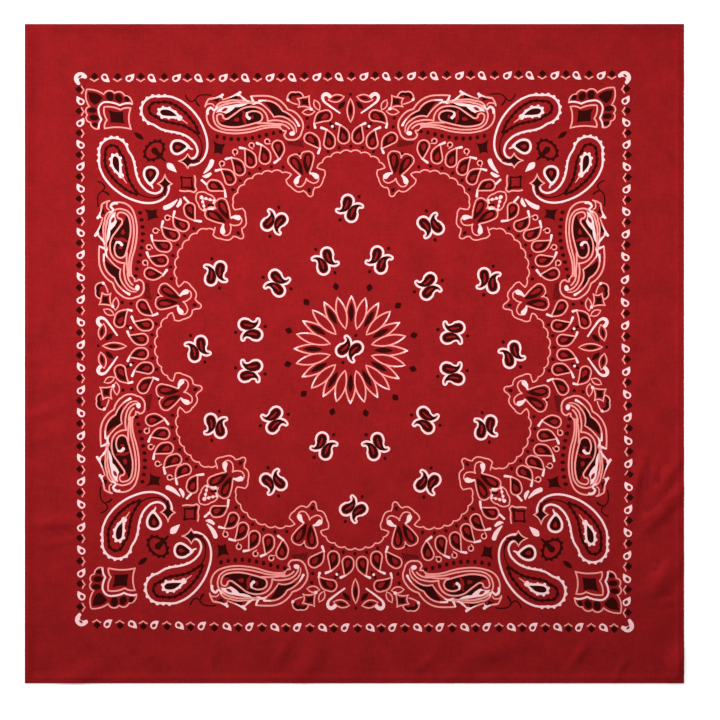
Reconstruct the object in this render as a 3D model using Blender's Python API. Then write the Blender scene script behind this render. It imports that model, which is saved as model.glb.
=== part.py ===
"""A square printed cotton bandana, laid out face up on a flat surface. Metres, +Z up.

The origin is the middle of the square, on the surface that the cloth lies on. +X runs to the
right of the laid-out cloth and +Y to its top edge. The cloth is one square whose four edges are
turned under, so the field is one solid and each turned hem is a narrow solid beneath its edge.
"""

import math
from collections import namedtuple

import bmesh
import bpy

# --- Driving dimensions ---------------------------------------------------------------------

SIDE = 0.559  # finished side of the square, 22 inches
WALL = 0.001  # wall that stands for cloth 0.25 mm thick
HEM_WIDTH = 0.005  # finished width of each turned-under hem
SEAM_GAP = 0.0003  # clearance between pieces that touch
HEM_RAMP = 0.003  # run over which the field comes down from its hem to the surface

HALF = SIDE / 2
HEM_RISE = WALL + SEAM_GAP  # how far a hem holds the edge of the field up

# Widest spacing of the cloth's section lines, by stretch: where it starts and ends, and the step.
Stretch = namedtuple("Stretch", "start end step")

ACROSS = (
    Stretch(-HALF + HEM_WIDTH + HEM_RAMP, -0.200, 0.0045),
    Stretch(-0.200, 0.225, 0.0085),
    Stretch(0.225, HALF - HEM_WIDTH - HEM_RAMP, 0.0036),
)
UP_AND_DOWN = (
    Stretch(-HALF + HEM_WIDTH + HEM_RAMP, -0.220, 0.0046),
    Stretch(-0.220, -0.070, 0.0042),
    Stretch(-0.070, 0.015, 0.0050),
    Stretch(0.015, 0.140, 0.0180),
    Stretch(0.140, 0.190, 0.0050),
    Stretch(0.190, 0.215, 0.0130),
    Stretch(0.215, HALF - HEM_WIDTH - HEM_RAMP, 0.0045),
)

# --- Creases ---------------------------------------------------------------------------------
# Each crease is a soft ridge where the cloth stands a little off the surface. Its middle is at
# (x, y), it runs at turn degrees from +X, and it fades out over its length and width. Sizes are
# in millimetres.

Crease = namedtuple("Crease", "x y turn length width height")

CREASES = (
    # right margin, below the middle: the four creases that run up to the edge
    Crease(x=240, y=-104, turn=68, length=62, width=17, height=1.6),
    Crease(x=268, y=-101, turn=61, length=62, width=17, height=1.8),
    Crease(x=261, y=-134, turn=45, length=84, width=19, height=2.4),
    Crease(x=264, y=-189, turn=52, length=70, width=28, height=2.0),
    # right margin, above the middle
    Crease(x=273, y=236, turn=-43, length=40, width=15, height=1.4),
    Crease(x=266, y=164, turn=-20, length=46, width=18, height=1.2),
    # left margin
    Crease(x=-271, y=-6, turn=12, length=34, width=16, height=1.1),
    Crease(x=-264, y=-50, turn=16, length=46, width=18, height=1.4),
    Crease(x=-268, y=-98, turn=-22, length=36, width=16, height=1.0),
    Crease(x=-256, y=-143, turn=2, length=64, width=18, height=1.6),
    # bottom margin and its corners
    Crease(x=-232, y=-272, turn=18, length=60, width=26, height=1.8),
    Crease(x=-38, y=-262, turn=58, length=54, width=28, height=1.8),
    Crease(x=122, y=-250, turn=18, length=90, width=30, height=1.5),
    Crease(x=274, y=-262, turn=74, length=52, width=26, height=2.0),
)


def soft(offset, reach):
    """1 in the middle of a crease, and a smooth fall to 0 at its reach."""
    if abs(offset) >= reach:
        return 0.0
    return 0.5 * (1 + math.cos(math.pi * offset / reach))


def lift(x, y):
    """Height of the cloth's underside above the surface, from the creases alone."""
    total = 0.0
    for crease in CREASES:
        turn = math.radians(crease.turn)
        east = x - crease.x / 1000
        north = y - crease.y / 1000
        along = east * math.cos(turn) + north * math.sin(turn)
        beside = north * math.cos(turn) - east * math.sin(turn)
        shape = soft(along, crease.length / 2000) * soft(beside, crease.width / 2000)
        total += crease.height / 1000 * shape
    return total


def hem_step(x, y):
    """Height that the hems add: full over a hem, then down a short ramp to nothing."""
    from_edge = HALF - max(abs(x), abs(y))
    share = 1 - (from_edge - HEM_WIDTH) / HEM_RAMP
    return HEM_RISE * min(1.0, max(0.0, share))


# --- Meshes ----------------------------------------------------------------------------------


def evenly(start, end, step):
    """Places from start to end, end included, no further than step apart."""
    count = math.ceil((end - start) / step - 1e-6)
    return [start + (end - start) * i / count for i in range(count + 1)]


def section_lines(stretches):
    """The section lines of the whole cloth in one direction, with the hems' lines at both ends."""
    lines = [-HALF, -HALF + HEM_WIDTH]
    for stretch in stretches:
        lines += evenly(*stretch)[:-1]
    return lines + [HALF - HEM_WIDTH - HEM_RAMP, HALF - HEM_WIDTH, HALF]


def wall_over(name, xs, ys, under):
    """A closed wall of cloth over the grid xs by ys, its underside at height under(x, y).

    The underside is made first, in triangles with one diagonal throughout, so that a hem and the
    field above it bend alike. It is then extruded straight up by the wall.
    """
    mesh = bmesh.new()
    rows = [[mesh.verts.new((x, y, under(x, y))) for x in xs] for y in ys]
    for low, high in zip(rows, rows[1:]):
        for i in range(len(xs) - 1):
            mesh.faces.new((low[i], high[i + 1], low[i + 1]))
            mesh.faces.new((low[i], high[i], high[i + 1]))
    raised = bmesh.ops.extrude_face_region(mesh, geom=mesh.faces[:], use_keep_orig=True)
    top = [item for item in raised["geom"] if isinstance(item, bmesh.types.BMVert)]
    bmesh.ops.translate(mesh, verts=top, vec=(0, 0, WALL))
    bmesh.ops.recalc_face_normals(mesh, faces=mesh.faces[:])
    data = bpy.data.meshes.new(name)
    mesh.to_mesh(data)
    mesh.free()
    data.shade_smooth()
    data.set_sharp_from_angle(angle=math.radians(40))
    piece = bpy.data.objects.new(name, data)
    bpy.context.scene.collection.objects.link(piece)
    return piece


def finish(piece, colour, roughness):
    """Gives a piece its own cotton material."""
    material = bpy.data.materials.new(piece.name + "_cotton")
    material.use_nodes = True
    shader = material.node_tree.nodes["Principled BSDF"]
    shader.inputs["Base Color"].default_value = (*colour, 1.0)
    shader.inputs["Roughness"].default_value = roughness
    shader.inputs["Metallic"].default_value = 0.0
    material.diffuse_color = (*colour, 1.0)
    piece.data.materials.append(material)


# --- The pieces --------------------------------------------------------------------------------

FACE_RED = (0.332, 0.011, 0.014)
WRONG_SIDE_RED = (0.270, 0.013, 0.016)
COTTON_ROUGHNESS = 0.85


def make_field(columns, rows):
    """The printed square, which rises over its turned hems and at its creases."""
    field = wall_over("cloth_field", columns, rows, lambda x, y: lift(x, y) + hem_step(x, y))
    finish(field, FACE_RED, COTTON_ROUGHNESS)


def make_hems(columns, rows):
    """The four turned hems. The top and bottom ones run full width and the others stop at them."""
    side_end = HALF - HEM_WIDTH - SEAM_GAP
    side_rows = [-side_end] + rows[2:-2] + [side_end]
    spans = {
        "hem_bottom": (columns, rows[:2]),
        "hem_top": (columns, rows[-2:]),
        "hem_left": (columns[:2], side_rows),
        "hem_right": (columns[-2:], side_rows),
    }
    for name, (xs, ys) in spans.items():
        finish(wall_over(name, xs, ys, lift), WRONG_SIDE_RED, COTTON_ROUGHNESS)


def main():
    for old in list(bpy.data.objects):
        bpy.data.objects.remove(old)
    columns = section_lines(ACROSS)
    rows = section_lines(UP_AND_DOWN)
    make_field(columns, rows)
    make_hems(columns, rows)


main()
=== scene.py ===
# %% [markdown]
# # A square paisley bandana, laid out flat
# The base model holds the shape of the piece. This lesson dresses it as real cloth:
# a thin plain-woven cotton square, dyed red, printed in white and black on its face, and
# hemmed on all four sides with a narrow turned edge.
# Sizes are in metres for the cloth and in millimetres for the drawing of the print.

# %% Load the base model
import math
from collections import namedtuple

import bpy
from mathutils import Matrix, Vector, geometry, noise


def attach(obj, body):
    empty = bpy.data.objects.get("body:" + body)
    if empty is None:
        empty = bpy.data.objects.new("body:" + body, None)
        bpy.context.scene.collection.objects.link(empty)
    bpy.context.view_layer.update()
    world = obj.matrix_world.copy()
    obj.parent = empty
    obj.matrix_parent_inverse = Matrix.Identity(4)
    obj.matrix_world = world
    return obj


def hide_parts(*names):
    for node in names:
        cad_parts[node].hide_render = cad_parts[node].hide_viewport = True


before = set(bpy.data.objects)
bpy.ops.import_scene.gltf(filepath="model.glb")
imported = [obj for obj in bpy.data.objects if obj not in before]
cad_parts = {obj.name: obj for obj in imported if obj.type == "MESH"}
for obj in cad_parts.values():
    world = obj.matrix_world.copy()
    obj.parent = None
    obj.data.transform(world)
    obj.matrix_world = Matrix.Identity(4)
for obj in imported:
    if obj.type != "MESH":
        bpy.data.objects.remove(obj)
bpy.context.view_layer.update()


# %% [markdown]
# ## Pens for the print
# A bandana is printed with one flat colour after another, so the drawing is a pile of flat
# patches: each patch is an ink and the corners of one outline, and a later patch covers an
# earlier one. The tools are a brush that changes width along a path, and filled outlines:
# discs, drops and pointed ovals.

# %% Brush, discs, drops and ovals
RED, WHITE, BLACK, PALE = 0, 1, 2, 3  # the inks, which are also the cloth's first finishes
THIN_LINE = 1.4  # a white line narrower than this holds so little paste that it prints pale
CHOKE = {WHITE: 0.28, PALE: -0.1, RED: 0, BLACK: 0}  # how much a line loses on the screen, mm
LEAST_LINE = 0.04  # the narrowest line that is left, mm
SHARP = 0.75  # a line that bends by more than this sine gets a round joint
CURVE_STEP = 0.9  # longest step along a curve, mm
CURVE_SLACK = 0.03  # how far a thinned curve may leave the smooth one, mm
ROUND_END = 0.5  # a line wider than this has round ends, mm
SPECK = 1e-4  # a patch smaller than this is left out, square mm
OVAL_STEP = 2.2  # step along a pointed oval, mm
OVAL_FULL = 0.8  # under 1, an oval is fuller than a sine wave
DROP_CORNERS = 30
DROP_PEAK = 0.77  # the widest point of a drop's curve, which the radius divides by


def thinned(path, slack=CURVE_SLACK):
    """The path without the points that it can lose and still keep its line."""
    if len(path) < 3:
        return path
    start, end = path[0], path[-1]
    run = math.dist(start, end)
    worst, furthest = 0.0, 0
    for i in range(1, len(path) - 1):
        off = math.dist(path[i], start) if run < 1e-6 else abs(turn_of(start, end, path[i])) / run
        if off > worst:
            worst, furthest = off, i
    if worst <= slack:
        return [start, end]
    return thinned(path[: furthest + 1], slack)[:-1] + thinned(path[furthest:], slack)


def hull(corners):
    """The convex outline of a few corners, anticlockwise."""
    ordered = sorted(set(corners))
    if len(ordered) < 3:
        return ordered
    halves = []
    for side in (ordered, ordered[::-1]):
        chain = []
        for p in side:
            while len(chain) > 1 and turn_of(chain[-2], chain[-1], p) <= 0:
                chain.pop()
            chain.append(p)
        halves.append(chain[:-1])
    return halves[0] + halves[1]


def turn_of(a, b, c):
    """Twice the area of a triangle: positive when it runs anticlockwise."""
    return (b[0] - a[0]) * (c[1] - a[1]) - (b[1] - a[1]) * (c[0] - a[0])


def area_of(outline):
    """Signed area of an outline."""
    pairs = zip(outline, outline[1:] + outline[:1])
    return sum(a[0] * b[1] - a[1] * b[0] for a, b in pairs) / 2


def fill(ink, outline):
    """One filled patch."""
    return [(ink, list(outline) if area_of(outline) > 0 else list(outline)[::-1])]


def turned(points, start, c, s):
    """Points turned by a cosine and a sine, then moved from the origin to start."""
    return [(start[0] + x * c - y * s, start[1] + x * s + y * c) for x, y in points]


def disc(ink, x, y, radius, long=1.0, turn=0.0):
    """A round or, with long over 1, an oval patch that runs at turn degrees."""
    count = max(8, min(26, round(7 * math.sqrt(radius * long)) + 4))
    outline = []
    for i in range(count):
        angle = 2 * math.pi * i / count
        outline.append((radius * long * math.cos(angle), radius * math.sin(angle)))
    return moved([(ink, outline)], (x, y), turn)


def widths_along(path, widths):
    """The brush's width at each point, from widths spread evenly along the whole path."""
    if not isinstance(widths, (tuple, list)):
        return [widths] * len(path)
    run = [0.0]
    for a, b in zip(path, path[1:]):
        run.append(run[-1] + math.dist(a, b))
    out = []
    for r in run:
        place = (len(widths) - 1) * r / (run[-1] or 1.0)
        i = min(int(place), len(widths) - 2)
        out.append(widths[i] + (widths[i + 1] - widths[i]) * (place - i))
    return out


def brush(ink, path, widths, closed=False):
    """A brush line along a path: one small patch for each step, round joints and round ends."""
    wide = widths_along(path, widths)
    inks = [PALE if ink == WHITE and width < THIN_LINE else ink for width in wide]
    count = len(path)
    edges, joints, out = [], [], []
    for i, (x, y) in enumerate(path):
        before = path[i - 1] if i or closed else path[i]
        after = path[(i + 1) % count] if i + 1 < count or closed else path[i]
        dx, dy = after[0] - before[0], after[1] - before[1]
        run = math.hypot(dx, dy) or 1.0
        half = max(wide[i] - CHOKE[inks[i]], LEAST_LINE) / 2
        side = (-dy / run * half, dx / run * half)
        edges.append(((x + side[0], y + side[1]), (x - side[0], y - side[1])))
        if 0 < i < count - 1 or closed:
            reach = math.dist(before, path[i]) * math.dist(path[i], after)
            ahead = (x - before[0]) * (after[0] - x) + (y - before[1]) * (after[1] - y)
            bend = abs(turn_of(before, path[i], after))
            if reach and (bend > SHARP * reach or ahead < 0):
                joints += disc(inks[i], x, y, half)
    for i in range(count if closed else count - 1):
        patch = hull(edges[i] + edges[(i + 1) % count])
        if len(patch) > 2 and area_of(patch) > SPECK:
            out.append((min(inks[i], inks[(i + 1) % count]), patch))
    for i in () if closed else (0, -1):
        if wide[i] > ROUND_END:
            out += disc(inks[i], *path[i], wide[i] / 2)
    return out + joints


def teardrop(head, tip, radius, bend=0.0):
    """Outline of a drop with a round head. Bend moves its tail sideways, to the left of it."""
    reach = math.dist(head, tip)
    outline = []
    for i in range(DROP_CORNERS):
        t = 2 * math.pi * i / DROP_CORNERS
        x = (reach + radius) / 2 * math.cos(t) + (reach - radius) / 2
        y = radius / DROP_PEAK * math.sin(t) * math.sin(t / 2)
        y += bend * 4 * (1 - x / reach) * max(x, 0) / reach
        outline.append((x, y))
    return turned(outline, head, (tip[0] - head[0]) / reach, (tip[1] - head[1]) / reach)


def lens(ink, a, b, width, line_width=0.0):
    """A pointed oval from a to b: filled, or drawn as a line when it has a line width."""
    reach = math.dist(a, b)
    steps = max(4, round(reach / OVAL_STEP))
    outline = []
    for side in (1, -1):
        for i in range(steps):
            t = i / steps if side > 0 else 1 - i / steps
            outline.append((reach * t, side * width / 2 * math.sin(math.pi * t) ** OVAL_FULL))
    outline = turned(outline, a, (b[0] - a[0]) / reach, (b[1] - a[1]) / reach)
    return brush(ink, outline, line_width, closed=True) if line_width else fill(ink, outline)


def moved(patches, place=(0, 0), turn=0.0, flip=False, flip_y=False):
    """Patches that are mirrored when flip is set, then turned, then moved."""
    c, s = math.cos(math.radians(turn)), math.sin(math.radians(turn))
    out = []
    for ink, corners in patches:
        seat = [(-x if flip else x, -y if flip_y else y) for x, y in corners]
        seat = turned(seat, place, c, s)
        out.append((ink, seat[::-1] if flip != flip_y else seat))
    return out


def four_ways(patches):
    """The patches and their mirror images in both middle lines of the print."""
    ways = [(flip, flip_y) for flip in (False, True) for flip_y in (False, True)]
    return [patch for flip, flip_y in ways for patch in moved(patches, flip=flip, flip_y=flip_y)]


print("a drop's outline has", len(teardrop((0, 0), (0, 9), 4)), "corners")

# %% [markdown]
# ## Ways to build a motif
# None of the figures is copied from a finished drawing. Each is built from its own few sizes,
# the way a print designer constructs them with a compass and a bow pen: a walk of plain arcs
# for a spine, a body that swells along that spine, hollow-sided stars and scalloped edges.

# %% Walks, arcs, bodies and hollow shapes
FINE = 1.0  # width of the print's fine line, mm
BOLD = 2.0  # width of its bold line, mm
WALK_TURN = 12  # most degrees that one step of a walk turns
BOW_STEP, BOW_TURN = 1.6, 24  # longest step along a bow, mm, and the most degrees that it turns


def walk(start, heading, *arcs):
    """A path of plain arcs. Each arc is its length and how far it turns, left positive."""
    x, y = start
    out = [(x, y)]
    for length, turn in arcs:
        steps = max(2, math.ceil(length / CURVE_STEP), math.ceil(abs(turn) / WALK_TURN))
        for _ in range(steps):
            heading += turn / steps / 2
            x += length / steps * math.cos(math.radians(heading))
            y += length / steps * math.sin(math.radians(heading))
            heading += turn / steps / 2
            out.append((x, y))
    return thinned(out)


def bow(a, b, rise):
    """The arc from a to b that rises to the left of its chord, without its last point."""
    chord = math.dist(a, b)
    if abs(rise) < 0.01:
        return [a]
    radius = (chord * chord / 4 + rise * rise) / (2 * rise)
    ux, uy = (b[0] - a[0]) / chord, (b[1] - a[1]) / chord
    cx = (a[0] + b[0]) / 2 + uy * (radius - rise)
    cy = (a[1] + b[1]) / 2 - ux * (radius - rise)
    sweep = 4 * math.atan2(2 * rise, chord)
    turns = math.ceil(abs(math.degrees(sweep)) / BOW_TURN)
    steps = max(2, math.ceil(abs(sweep * radius) / BOW_STEP), turns)
    spoke = [(a[0] - cx, a[1] - cy)]
    out = []
    for i in range(steps):
        angle = -sweep * i / steps
        out += turned(spoke, (cx, cy), math.cos(angle), math.sin(angle))
    return out


def bows(text):
    """A path of arcs from text. Each node is x, y and the rise of the arc that leaves it."""
    nodes = [[float(number) for number in node.split()] for node in text.split(",")]
    out = []
    for a, b in zip(nodes, nodes[1:]):
        out += bow((a[0], a[1]), (b[0], b[1]), a[2])
    return out + [(nodes[-1][0], nodes[-1][1])]


def drawn(*strokes):
    """Strokes along paths of arcs: ink, path and widths. One with no widths is filled."""
    out = []
    for ink, text, *widths in strokes:
        path = bows(text)
        out += brush(ink, path, *widths) if widths else fill(ink, path[:-1])
    return out


def equal_bows(corners, rise):
    """Arcs of the same rise from corner to corner, without the last corner."""
    return [p for a, b in zip(corners, corners[1:]) for p in bow(a, b, rise)]


def rim(spine, widths):
    """The outline of a body that swells along a spine: round its head and back to its tail."""
    wide = widths_along(spine, widths)
    left, right = [], []
    for i, (x, y) in enumerate(spine):
        before, after = spine[max(i - 1, 0)], spine[min(i + 1, len(spine) - 1)]
        run = math.dist(before, after) or 1.0
        nx, ny = -(after[1] - before[1]) / run, (after[0] - before[0]) / run
        left.append((x + nx * wide[i] / 2, y + ny * wide[i] / 2))
        right.append((x - nx * wide[i] / 2, y - ny * wide[i] / 2))
    caps = [bow(left[0], right[0], rise)[1:] for rise in (wide[0] / 2, -wide[0] / 2)]
    ahead = spine[min(2, len(spine) - 1)]
    cap = max(caps, key=lambda arc: math.dist(arc[len(arc) // 2], ahead))
    return left[::-1] + cap + right


def less(widths, by):
    """Widths taken in by the same amount, down to almost nothing."""
    return [max(width - by, 0.05) for width in widths]


def pillow(wide, high, hollow, skew):
    """A four-cornered outline with hollow sides."""
    w, h = wide / 2, high / 2
    return equal_bows([(-w, -h), (w, -h + skew), (w, h), (-w, h - skew), (-w, -h)], hollow)


def star(long, short, hollow):
    """A four-pointed outline with hollow sides, its long points left and right."""
    return equal_bows([(long, 0), (0, short), (-long, 0), (0, -short), (long, 0)], hollow)


def leaf(a, b, width, line=FINE):
    """A red pointed oval with a white line round it, over what lies below."""
    return lens(RED, a, b, width) + lens(WHITE, a, b, width, line)


def ring(ink, outline, width):
    """A line round a closed outline."""
    return brush(ink, outline, width, closed=True)


def beaded(ink, path, spacing, radius):
    """A row of round beads along a path."""
    out = []
    run, due = 0.0, spacing / 2
    for a, b in zip(path, path[1:]):
        step = math.dist(a, b)
        while step and run + step >= due:
            out += disc(ink, *between_points(a, b, (due - run) / step), radius)
            due += spacing
        run += step
    return out


def between_points(a, b, share):
    """The point at a share of the way from a to b."""
    return (a[0] + (b[0] - a[0]) * share, a[1] + (b[1] - a[1]) * share)


def at(patches, x, y, turn=0.0):
    """Patches drawn round their own origin, turned and set down at x, y."""
    return moved(patches, (x, y), turn)


print("a walk of two arcs ends at", [round(v, 2) for v in walk((0, 0), 0, (10, 90), (5, 0))[-1]])

# %% [markdown]
# ## Small repeats
# The same few small figures come back all over a paisley print: the drop with a dark heart,
# the horseshoe with a dot, the pair of drops head to tail, the dark diamond with its bracket.
# Each is one function, so that every copy of it is alike.

# %% Small repeats
def wreath_drop(head, tip, flick, bend=0.0, radius=5.1):
    """A fine-line drop round a dark drop with a red heart, and a white flick at its tail."""
    out = fill(RED, teardrop(head, tip, radius, bend))
    out += fill(BLACK, teardrop(head, between_points(head, tip, 0.84), radius * 0.7, bend * 0.8))
    out += fill(RED, teardrop(head, between_points(head, tip, 0.42), radius * 0.4))
    out += ring(WHITE, teardrop(head, tip, radius, bend), FINE)
    start = between_points(tip, flick, -0.2)
    return out + brush(WHITE, [start, between_points(tip, flick, 0.5), flick], (1.5, 2.2, 2.3))


def horseshoe(x, y, turn):
    """A small open white loop round a dark dot, one leg longer than the other."""
    out = disc(BLACK, 0, 0, 1.15)
    out += brush(WHITE, walk((-1.0, -1.9), 152, (10.6, -285), (2.2, 20)), 0.95)
    return at(out, x, y, turn)


def twin():
    """Two fat drops head to tail in one bold outline, with a dark dot at either side."""
    spine = walk((0.25, 6.6), 246, (3, -9), (3, -14), (3, -24), (2.5, -24), (2.4, -42))
    layers = (
        (WHITE, 1.0, (12.0, 12.4, 10.0, 7.6, 6.2, 4.6)),
        (RED, 0.97, (8.4, 8.8, 6.4, 3.8, 2.4, 1.2)),
        (BLACK, 0.66, (6.8, 7.0, 5.6, 2.4)),
        (RED, 0.4, (1.2, 1.9, 1.4)),
    )
    out = []
    for ink, share, widths in layers:
        drop = brush(ink, spine[: max(3, round(len(spine) * share))], widths)
        out += drop + moved(drop, turn=180)
    for side in (1, -1):
        out += disc(BLACK, side * 10.4, side * 7.4, 1.4, 1.15, 40)
    return out


def diamond():
    """The border's small dark diamond."""
    return fill(BLACK, star(3.1, 3.1, -0.1))


def border_drop():
    """The border's small white loop with a red eye, its tail to the upper right."""
    out = fill(WHITE, teardrop((0, 0), (4.5, 4.0), 2.95, -0.5))
    return out + disc(RED, 0.1, 0.1, 1.5, 1.3, 40)


def bracket():
    """The thin open bracket under each border diamond."""
    return drawn((WHITE, "-3.4 2.1 0.2, 0 0 0.2, 3.4 2.1", 0.95))


print("one twin is", len(twin()), "patches")

# %% [markdown]
# ## The central flower
# A ring of twenty-four lancet petals. Every second one lies behind its neighbours and has a
# dark core. The black screen was laid a little to one side, so the cores sit further out at
# the upper left than at the lower right, as they do in cheap two-screen printing.

# %% The central flower
FLOWER_AT = (-2.2, 0.6)
FLOWER_TURN = -0.8  # degrees
PETAL_IN, PETAL_OUT = 18.4, 45.3
PETAL_LINE = (1.15, 1.1, 1.1, 1.5, 1.1, 1.1)  # pale round a petal, white at its tip
BACK_LINE = (1.1, 1.1, 1.5)
PETAL_WIDE = 8.2
PETALS = 12  # in each of the two layers
WIDER = 0.055  # the ring of petals is this share wider than it is high
BACK_FROM = 28.0  # where a back petal comes out from behind its neighbours
BACK_HALF, BACK_RISE = 4.2, 1.3  # half of its width there, and the rise of its sides
CORE_IN, CORE_OUT, CORE_WIDE = 21.8, 38.2, 4.4
CORE_SLIP = 2.6  # mm, towards the upper left
CORE_SLIP_WAY = 143.0  # degrees from +X
DOTS_AWAY = 55.0  # from the flower's middle to the ring of dark diamonds
DOTS_TURN = -1.9  # degrees


def flower():
    """The petals round the middle of the cloth: the back ones with their cores, then the front."""
    out = []
    for layer in (0, 1):
        for k in range(PETALS):
            way = 90 + FLOWER_TURN - 30 * k - 15 * layer
            tip = (PETAL_OUT * (1.0 + WIDER * math.cos(math.radians(way)) ** 2), 0)
            if layer:
                petal = leaf((PETAL_IN, 0), tip, PETAL_WIDE, PETAL_LINE)
            else:
                slip = CORE_SLIP * math.cos(math.radians(way - CORE_SLIP_WAY))
                petal = lens(BLACK, (CORE_IN + slip, 0), (CORE_OUT + slip, 0), CORE_WIDE)
                for side in (1, -1):
                    back = bow((BACK_FROM, BACK_HALF * side), tip, BACK_RISE * side) + [tip]
                    petal += brush(WHITE, back, BACK_LINE)
            out += moved(petal, FLOWER_AT, way)
    for k in range(PETALS):
        way = 105 + DOTS_TURN - 30 * k
        x = FLOWER_AT[0] + DOTS_AWAY * math.cos(math.radians(way))
        y = FLOWER_AT[1] + DOTS_AWAY * math.sin(math.radians(way))
        out += at(fill(BLACK, star(3.5, 2.9, -0.3)), x, y, way)
    return out


# Where each twin lies: x, y, turn of its tails, and whether it is the mirrored one.
Twin = namedtuple("Twin", "x y turn flip")
TWINS = (
    Twin(-3.4, 1.2, 100, True),
    Twin(-23.7, 75.7, -15, True), Twin(22.0, 76.7, 15, False),
    Twin(-64.7, 56.9, 13, True), Twin(63.8, 54.6, -13, False),
    Twin(-87.4, 17.4, 47, True), Twin(84.3, 15.4, -47, False),
    Twin(-87.6, -17.8, -47, False), Twin(83.9, -19.1, 47, True),
    Twin(-67.4, -59.4, -13, False), Twin(61.1, -58.7, 16, True),
    Twin(-25.4, -81.1, 14, False), Twin(18.4, -81.3, -16, True),
    Twin(-2.9, 120.4, 15, False), Twin(66.0, 106.0, 71, False),
    Twin(114.9, 59.5, 36, False), Twin(134.4, -2.8, -20, True),
    Twin(112.0, -64.5, -41, True), Twin(62.3, -111.4, -69, True),
    Twin(-0.3, -134.4, 91, True), Twin(-68.3, -111.8, 75, False),
    Twin(-117.2, -64.6, 40, False), Twin(-132.2, 0.8, -26, True),
    Twin(-116.8, 65.0, -40, True), Twin(-66.8, 108.8, -72, True),
)


def scatter():
    """The twins tossed round the flower."""
    out = []
    one = twin()
    for place in TWINS:
        out += moved(moved(one, flip=place.flip), (place.x, place.y), place.turn)
    return out


print("flower", len(flower()), "patches, scatter", len(scatter()))

# %% [markdown]
# ## The medallion's edge
# Twelve scalloped lobes with a tulip in every hollow between them, and a wreath of drops
# outside. From here on the print repeats by eighths: one eighth is drawn, from the middle line
# of the top side to the diagonal of the upper right corner, and the other seven are its mirror
# images. Sizes are from the middle of the print.

# %% The medallion's edge
LOBE_AWAY = 130.0  # from the medallion's middle to the middle of a lobe's arc
LOBE_RADIUS = 37.5
SCALLOPS = 3  # to each side of a lobe's middle
SCALLOP_TURN = 13.6  # degrees of one scallop
SCALLOP_RISE = 2.0
END_RISE = 1.1  # of the arc that runs into a tulip's shield
LOBE_DOT_AWAY = 42.3  # from the middle of a lobe's arc to the dark dots outside it
LOBE_LEAN = 1.3  # degrees that the second lobe is turned
Spot = namedtuple("Spot", "x y turn")
TULIP_ONE = Spot(38.2, 143.8, -14.5)
TULIP_TWO = Spot(103.2, 104.5, -42.2)  # on the diagonal
CUSP = (11.4, 7.3)  # the inner corner of a tulip's shield, where a lobe ends
HATCHES, HATCH_STEP = 9, 1.5  # strokes of dark shade beside a tulip, and mm between them
Drop = namedtuple("Drop", "head tip flick bend")
DROPS = (
    Drop((6.1, 179.6), (9.2, 190.8), (12.4, 192.1), 1.0),
    Drop((18.4, 175.2), (21.0, 186.8), (25.0, 188.4), 1.2),
    Drop((34.9, 179.2), (26.5, 170.0), (27.9, 166.6), -1.2),
    Drop((62.4, 172.4), (61.5, 160.9), (65.3, 158.2), -0.9),
    Drop((73.6, 162.0), (76.6, 173.6), (80.2, 175.0), 1.2),
    Drop((85.7, 158.9), (90.9, 170.4), (94.8, 171.0), 1.4),
    Drop((95.3, 152.0), (102.7, 162.3), (106.9, 161.2), 1.6),
    Drop((103.6, 143.9), (111.5, 152.2), (115.5, 151.2), 1.6),
    Drop((118.2, 138.2), (107.9, 133.4), (107.4, 128.8), -1.3),
)
HORSESHOES = (
    Spot(71.5, 176.5, -60), Spot(84.9, 173.2, -25), Spot(99.0, 167.5, 0), Spot(110.3, 157.3, 10),
)


def tulip():
    """A two-petalled tulip, upright, on a pointed shield, with hooked sepals."""
    half = fill(BLACK, teardrop((6.1, 18.0), (1.8, 4.0), 3.7, -0.5))
    half += fill(RED, teardrop((6.2, 18.0), (4.2, 9.5), 1.8))
    half += drawn(
        (WHITE, "0 18.8 1.9, 6 23.3 2.0, 11.3 17.3 0.5, 4.7 5.6 0, 4.4 3.6", FINE),
        (WHITE, "10.2 0 1.0, 8.4 -4.4 0.9, 3.2 -3.4 0.5, 0 0.8", FINE),
        (WHITE, "4.4 4.4 0.5, 9.0 0.2", (1.4, 2.6, 4.2, 4.4)),
        (WHITE, "11.4 7.3 -0.2, 16.9 3.9 1.0, 14.6 -2.6 0.3, 10.7 -8.0 0.7,"
                "5.1 -8.7 -0.3, 2.6 -12.4 0.7, 0 -15.3", FINE),
    )
    half += moved(half, flip=True)
    return half + disc(BLACK, 0, -9.6, 1.5, 1.3, 90) + disc(BLACK, 0, 22.6, 1.3)


def set_tulip(place):
    """A tulip at its place, and where its two cusps come to lie: left, right."""
    ends = moved([(WHITE, [(-CUSP[0], CUSP[1]), CUSP])], (place.x, place.y), place.turn)
    return at(tulip(), *place), ends[0][1]


def lobe(turn, start, end):
    """A lobe's scallops from one tulip's cusp to the next, and a dark dot outside each notch."""
    middle = (-LOBE_AWAY * math.sin(math.radians(turn)), LOBE_AWAY * math.cos(math.radians(turn)))
    lean = LOBE_LEAN if turn else 0.0
    notches, dots = [], []
    for k in range(-SCALLOPS if start else 0, SCALLOPS + 1):
        angle = math.radians(90 + turn - lean - k * SCALLOP_TURN)
        c, s = math.cos(angle), math.sin(angle)
        notches.append((middle[0] + LOBE_RADIUS * c, middle[1] + LOBE_RADIUS * s))
        dot = (middle[0] + LOBE_DOT_AWAY * c, middle[1] + LOBE_DOT_AWAY * s)
        dots += disc(BLACK, *dot, 1.35, 1.2, math.degrees(angle))
    arc = bow(start, notches[0], END_RISE) if start else []
    arc += equal_bows(notches, SCALLOP_RISE) + bow(notches[-1], end, END_RISE) + [end]
    return brush(WHITE, arc, FINE) + dots[:-1]


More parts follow.
